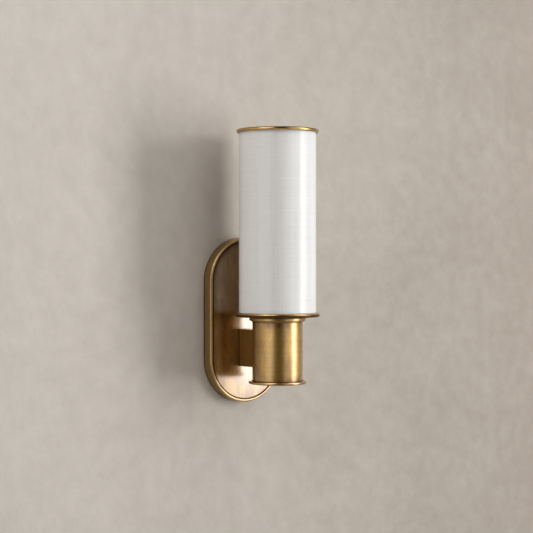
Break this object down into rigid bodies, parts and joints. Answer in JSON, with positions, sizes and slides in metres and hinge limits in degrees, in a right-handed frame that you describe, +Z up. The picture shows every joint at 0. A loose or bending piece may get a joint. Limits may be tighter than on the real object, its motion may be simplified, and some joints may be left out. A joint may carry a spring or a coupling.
{
  "type": "wall sconce",
  "caption": "Wall sconce with a stadium-shaped brass back plate, square arm, turned lamp cup and tall white linen cylinder shade with brass rims.",
  "frame": {"origin": "middle of the junction box screw pattern, on the wall plane, at the back plate's centre", "axes": "+Y into the wall, +Z up along the light's height, +X to the right for someone who faces the wall"},
  "size_m": [0.125, 0.1459, 0.3802],
  "materials": {
    "aged_brass": "aged satin, rubbed lighter on the edges",
    "raw_brass": "plain machined",
    "tinned_copper": "tinned",
    "zinc_steel": "zinc plated",
    "green_screw": "green passivated",
    "black_phenolic": "moulded, half gloss",
    "white_ceramic": "glazed",
    "nylon": "moulded",
    "linen": "fine plain weave under a clear glossy film",
    "liner_film": "satin translucent",
    "opal_glass": "opal",
    "lamp_cap_metal": "rolled",
    "black_glass": "vitrified",
    "black_insulation": "extruded",
    "white_insulation": "extruded",
    "green_insulation": "extruded"
  },
  "bodies": {
    "fixture": {"arm": "aged_brass", "arm_front_block": "raw_brass", "arm_front_screws": "zinc_steel", "arm_rear_block": "raw_brass", "arm_rear_screws": "zinc_steel", "backplate": "aged_brass", "bracket_earth_screw": "green_screw", "centre_contact": "raw_brass", "clamp_screws": "zinc_steel", "cup_base": "aged_brass", "cup_collar": "aged_brass", "earth_lead": "green_insulation", "earth_nut": "zinc_steel", "earth_stud": "zinc_steel", "gallery_disc": "aged_brass", "holder_terminal_screws": "zinc_steel", "holder_terminals": "raw_brass", "lamp_cup": "aged_brass", "lampholder_cap": "black_phenolic", "lampholder_insert": "white_ceramic", "lampholder_shell": "raw_brass", "lampholder_skirt": "black_phenolic", "live_lead": "black_insulation", "lock_washers": "zinc_steel", "locking_screws": "zinc_steel", "mounting_bracket": "zinc_steel", "neutral_lead": "white_insulation", "ring_terminal": "tinned_copper", "terminal_block": "nylon", "terminal_block_screws": "zinc_steel", "terminal_sleeves": "raw_brass", "threaded_tube": "zinc_steel", "tube_nut": "zinc_steel"},
    "shade": {"shade_cloth": "linen", "shade_liner": "liner_film", "shade_top_ring": "aged_brass", "shade_fitter": "zinc_steel"},
    "retaining_ring": {"shade_retaining_ring": "black_phenolic"},
    "lamp": {"lamp_glass_tube": "opal_glass", "lamp_cap": "lamp_cap_metal", "lamp_insulator": "black_glass", "lamp_contact": "tinned_copper"}
  },
  "joints": [
    {"name": "shade_lift", "type": "slide", "parent": "fixture", "child": "shade", "axis": [0, 0, 1], "range_m": [0, 0.18]},
    {"name": "retaining_ring_turn", "type": "hinge", "parent": "shade", "child": "retaining_ring", "pos_m": [0, -0.0876, 0.0486], "axis": [0, 0, 1], "continuous": true},
    {"name": "lamp_lift", "type": "slide", "parent": "fixture", "child": "lamp", "axis": [0, 0, 1], "range_m": [0, 0.225]}
  ]
}
